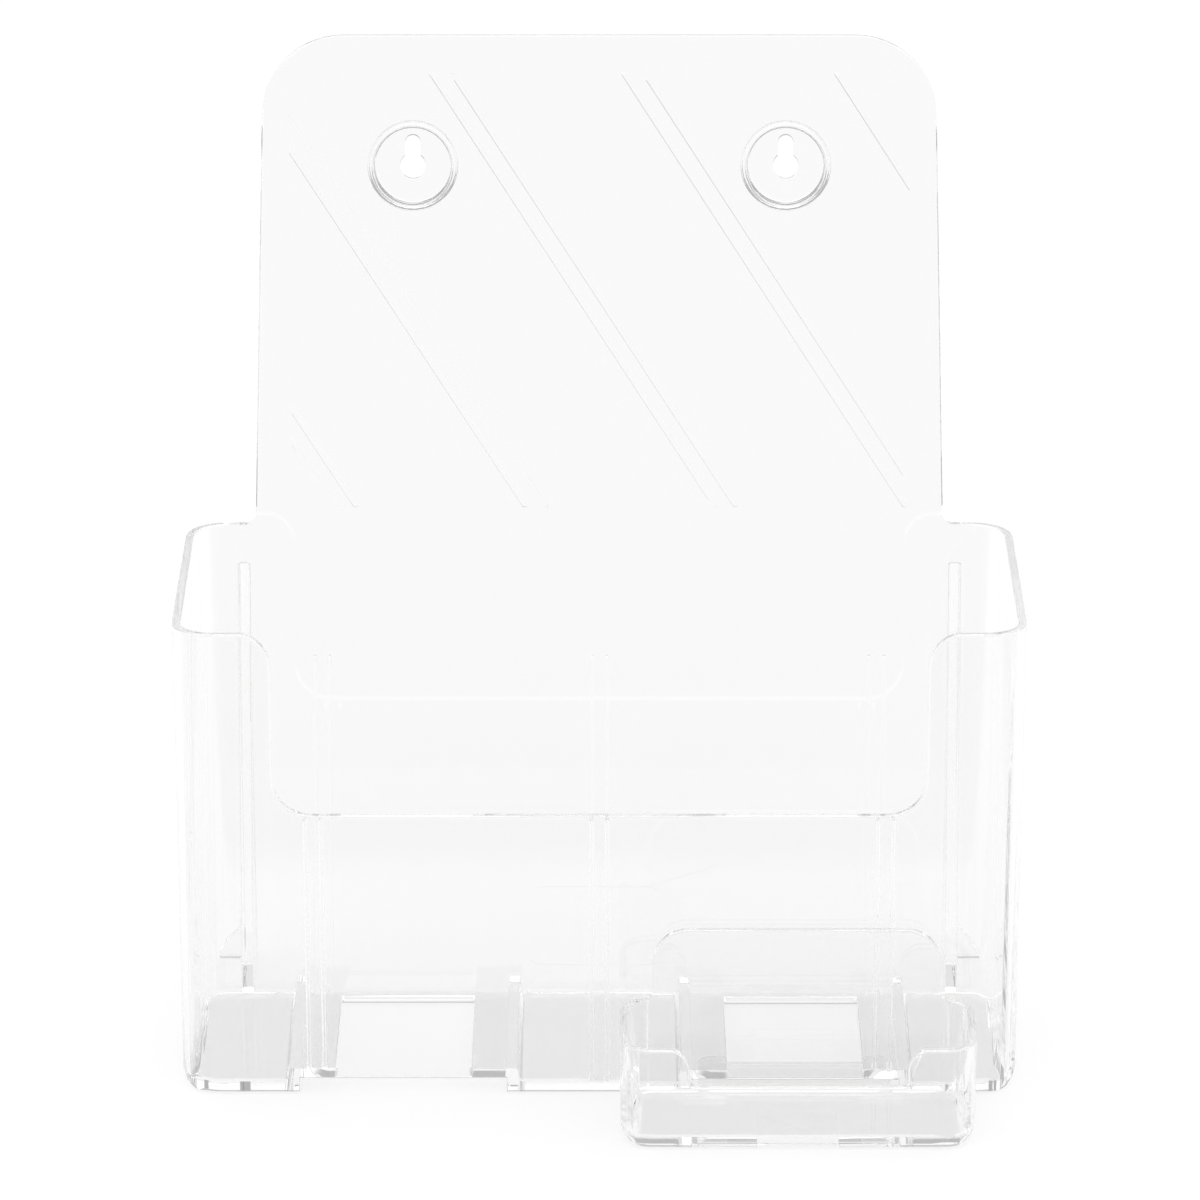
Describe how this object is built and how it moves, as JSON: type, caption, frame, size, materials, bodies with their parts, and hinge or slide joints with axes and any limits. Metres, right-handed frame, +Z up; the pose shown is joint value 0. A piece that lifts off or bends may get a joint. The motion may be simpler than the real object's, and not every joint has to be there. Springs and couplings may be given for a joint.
{
  "type": "magazine holder",
  "caption": "Clear moulded countertop or wall magazine holder with a leaning back panel, cut-down front and a pull-off business card pocket.",
  "frame": {"origin": "middle of the bounding box, on the table", "axes": "+Z up, -Y out of the open front, +X to the viewer's right, where the card pocket is"},
  "size_m": [0.235, 0.154, 0.274],
  "materials": {
    "clear_holder": "clear, polished",
    "clear_card_pocket": "clear, polished"
  },
  "bodies": {
    "holder": {"holder": "clear_holder"},
    "card_pocket": {"card_pocket": "clear_card_pocket"}
  },
  "joints": [
    {"name": "card_pocket_pull", "type": "slide", "parent": "holder", "child": "card_pocket", "axis": [0, -1, 0], "range_m": [0, 0.04]}
  ]
}
